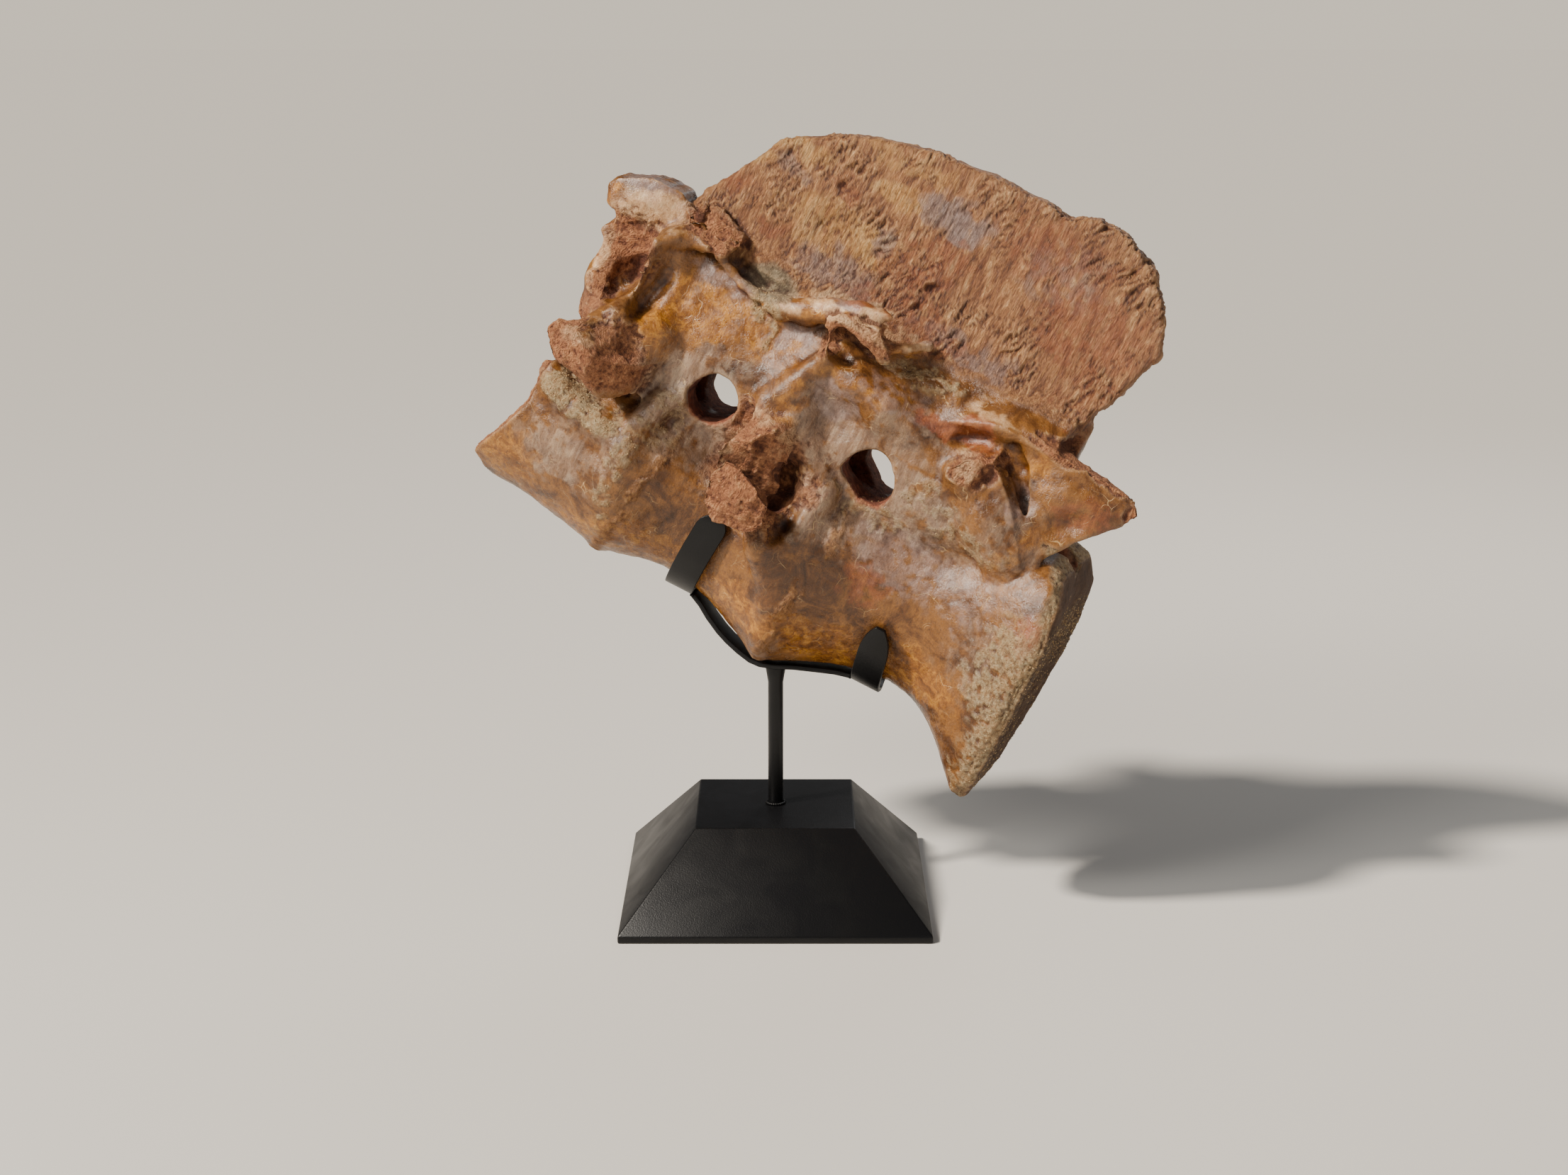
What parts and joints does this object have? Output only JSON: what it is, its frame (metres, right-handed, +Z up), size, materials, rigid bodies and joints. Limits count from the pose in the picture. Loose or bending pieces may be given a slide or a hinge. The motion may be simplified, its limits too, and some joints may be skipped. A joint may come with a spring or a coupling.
{
  "type": "fossil dinosaur vertebrae on museum mount",
  "caption": "Fused fossil dinosaur sacral vertebrae with a tall spine plate and broken rib stumps, held by a steel cradle on a rod above a square sloping base.",
  "frame": {"origin": "centre of the underside of the base, on the surface that it stands on", "axes": "+Z up; +X towards the rear end of the row of vertebrae, as seen from the front; -Y towards a viewer in front of the near side"},
  "size_m": [0.5595, 0.2666, 0.6385],
  "materials": {
    "fossil_bone": "satin",
    "fossil_spine": "matte",
    "fossil_broken": "matte",
    "black_powder_coat": "satin"
  },
  "bodies": {
    "root": {"centrum_fragment": "fossil_bone", "centrum_front": "fossil_bone", "centrum_rear": "fossil_bone", "neural_arch_fragment": "fossil_bone", "neural_arch_front": "fossil_bone", "neural_arch_rear": "fossil_bone", "neural_spine_fragment": "fossil_spine", "neural_spine_front": "fossil_spine", "neural_spine_rear": "fossil_spine", "rib_stump_front_near": "fossil_broken", "rib_stump_front_far": "fossil_broken", "rib_stump_middle_near": "fossil_broken", "rib_stump_middle_far": "fossil_broken", "zygapophysis_near": "fossil_bone", "zygapophysis_far": "fossil_bone", "stand_base": "black_powder_coat", "stand_rod": "black_powder_coat", "stand_cradle": "black_powder_coat", "stand_strap": "black_powder_coat", "stand_clip": "black_powder_coat"}
  },
  "joints": []
}
